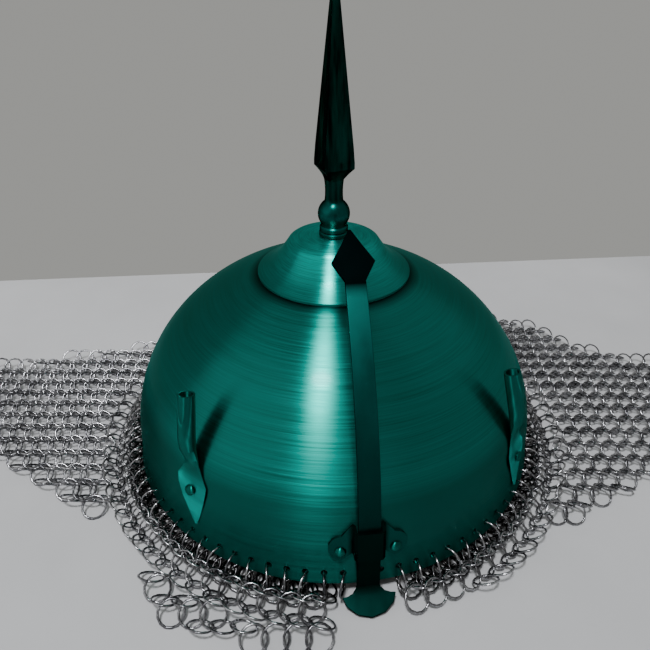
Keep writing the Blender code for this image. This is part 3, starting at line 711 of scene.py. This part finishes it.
def insideMail(x, y):
    edge = mail["frontEdge"] if y < mail["frontStart"] else mail["edge"]
    return depthInside((x, y), mail["outline"]) > edge and not (abs(x) < mail["slotHalf"] and y < 0)


def ringPlace(x, y, z, turn, lean, roll=0.0):
    return (Matrix.Translation((x, y, z)) @ Matrix.Rotation(math.radians(turn), 4, "Z")
            @ Matrix.Rotation(math.radians(roll), 4, "Y") @ Matrix.Rotation(math.radians(lean), 4, "X"))


def sway(waves, u, v):
    # how far a ring lies off its place in the straight rows
    return sum(size * math.sin(u * along + v * up + start) for size, along, up, start in waves)


def flatRings(chance):
    # rows that lie on the table, alternate rows leaning opposite ways so that their rings link
    places = []
    turn = math.radians(mail["rowTurn"])
    across = Vector((math.cos(turn), math.sin(turn)))
    up = Vector((-math.sin(turn), math.cos(turn)))
    spread = mail["flatSpread"]
    for row in range(-mail["rows"], mail["rows"] + 1):
        for column in range(-mail["columns"], mail["columns"] + 1):
            u = (column + 0.5 * (row % 2)) * mail["pitch"]
            v = row * mail["rowPitch"]
            spot = across * u + up * v
            x = spot.x + sway(mail["swayX"], u, v)
            y = spot.y + sway(mail["swayY"], u, v)
            if math.hypot(x, y) < mail["startRadius"] or not insideMail(x, y):
                continue
            lean = mail["lean"] * (1 if row % 2 else -1) + chance.uniform(-spread, spread)
            height = (mail["ringRadius"] * math.sin(math.radians(abs(lean))) + mail["wireRadius"]
                      + chance.uniform(0.0, mail["liftSpread"]))
            places.append(ringPlace(x, y, height, mail["rowTurn"] + chance.uniform(-spread, spread), lean,
                                    mail["roll"] + chance.uniform(-spread, spread)))
    return places


def rimRings(chance):
    # one ring through each hole, then rows that gather the mail in to them
    places = []
    hang = mail["hangSpread"]
    spread = mail["hemSpread"]
    reachSpread = mail["hemReachSpread"]
    for index in range(bowl["holes"]):
        degrees = bowl["firstHole"] + 360 * index / bowl["holes"]
        if abs((degrees + 180) % 360 - 180) < mail["nasalHalf"]:
            continue
        spot = around(degrees, mail["hangRadius"], mail["hangHeight"])
        places.append(Matrix.Translation(spot)
                      @ Matrix.Rotation(math.radians(degrees + chance.uniform(-hang, hang)), 4, "Z")
                      @ Matrix.Rotation(math.pi / 2, 4, "Y"))
    for row, radius in enumerate(mail["hemRadii"]):
        for index in range(bowl["holes"]):
            degrees = bowl["firstHole"] + 360 * (index + 0.5 * ((row + 1) % 2)) / bowl["holes"]
            reach = radius + chance.uniform(-reachSpread, reachSpread)
            spot = around(degrees, reach, 0.0)
            if not insideMail(spot.x, spot.y):
                continue
            lean = mail["hemLeans"][row] + chance.uniform(-spread, spread)
            roll = mail["roll"] + chance.uniform(-spread, spread)
            tall = mail["ringRadius"] * math.sin(math.radians(abs(lean) + mail["hemTilt"]))
            rise = tall + mail["wireRadius"] + mail["hemRises"][row]
            places.append(ringPlace(spot.x, spot.y, rise, degrees, lean, roll))
    return places


def joinRings(name, places):
    # one torus is modelled, and its copies are laid into one mesh
    major, minor = mail["ringFaces"]
    deselectAll()
    bpy.ops.mesh.primitive_torus_add(major_segments=major, minor_segments=minor,
                                     major_radius=mail["ringRadius"], minor_radius=mail["wireRadius"])
    pattern = bpy.context.object
    corners = np.array([tuple(v.co) + (1.0,) for v in pattern.data.vertices])
    faces = np.array([tuple(p.vertices) for p in pattern.data.polygons])
    bpy.data.objects.remove(pattern)
    allCorners = np.concatenate([corners @ np.array(place).T for place in places])[:, :3]
    allFaces = np.concatenate([faces + len(corners) * index for index in range(len(places))])
    mesh = bpy.data.meshes.new(name)
    mesh.from_pydata(allCorners.tolist(), [], allFaces.tolist())
    mesh.update()
    piece = bpy.data.objects.new(name, mesh)
    bpy.context.collection.objects.link(piece)
    makeActive(piece)
    bpy.ops.object.shade_smooth()
    return piece


def makeMail():
    chance = random.Random(mail["seed"])
    flat = flatRings(chance)
    rim = rimRings(chance)
    print("rings:", len(flat), "flat,", len(rim), "at the rim")
    for name, places in (("mailRightWing", [place for place in flat if place.translation.x < 0]),
                         ("mailLeftWing", [place for place in flat if place.translation.x >= 0]),
                         ("mailHem", rim)):
        piece = joinRings(name, places)
        finishPiece(piece, ringZinc, helmetBody, "plated_steel", "mail")


makeMail()
print("mail made")


# the plain table, the grey of the room, the lights and the camera

studio = {
    "roomTone": (0.335, 0.335, 0.32),
    "tableBack": ((-0.72, 0.2278), (0.72, 0.161)),  # left and right ends of the table's back edge
    "tableDepth": 1.3,
    "keyPlace": (-0.16, -0.38, 1.05),
    "keySize": 0.16,
    "keyPower": 11.5,
    "keyTone": (0.97, 0.985, 1.0),
    "fillPlace": (1.5, 0.6, 1.6),
    "fillSize": 2.2,
    "fillPower": 2.2,
    "sidePlace": (-1.25, -0.45, 0.85),
    "sideSize": 1.9,
    "sidePower": 6.0,
    "aimHeight": 0.06,
    "lens": 30.592,
    "sensor": 36.0,
    "nearClip": 0.01,
    "cameraPlace": ((0.99229, 0.069685, -0.102463, -0.033022),
                    (-0.123860, 0.533450, -0.836713, -0.234967),
                    (-0.003648, 0.842956, 0.537970, 0.217061),
                    (0.0, 0.0, 0.0, 1.0)),
}


def addLight(name, tone=(1.0, 1.0, 1.0)):
    place = studio[name + "Place"]
    deselectAll()
    bpy.ops.object.light_add(type="AREA", location=place)
    lamp = bpy.context.object
    lamp.name = name
    lamp.data.shape = "DISK"
    lamp.data.size = studio[name + "Size"]
    lamp.data.energy = studio[name + "Power"]
    lamp.data.color = tone
    aim = Vector((0, 0, studio["aimHeight"])) - Vector(place)
    lamp.rotation_euler = aim.to_track_quat("-Z", "Y").to_euler()


def makeStudio():
    left, right = (Vector((x, y, 0.0)) for x, y in studio["tableBack"])
    along = (right - left).normalized()
    away = Vector((-along.y, along.x, 0.0))
    mesh = bpy.data.meshes.new("table")
    corners = (left - away * studio["tableDepth"], right - away * studio["tableDepth"], right, left)
    mesh.from_pydata([tuple(corner) for corner in corners], [], [(0, 1, 2, 3)])
    table = bpy.data.objects.new("table", mesh)
    bpy.context.collection.objects.link(table)
    mesh.materials.append(tablePaint)
    room = bpy.data.worlds.new("room")
    room.use_nodes = True
    room.node_tree.nodes["Background"].inputs["Color"].default_value = (*studio["roomTone"], 1.0)
    bpy.context.scene.world = room
    addLight("key", studio["keyTone"])
    addLight("fill")
    addLight("side")
    camera = bpy.data.objects.new("camera", bpy.data.cameras.new("camera"))
    bpy.context.collection.objects.link(camera)
    camera.data.sensor_width = studio["sensor"]
    camera.data.lens = studio["lens"]
    camera.data.clip_start = studio["nearClip"]
    camera.matrix_world = Matrix(studio["cameraPlace"])
    bpy.context.scene.camera = camera


makeStudio()
print("studio made")
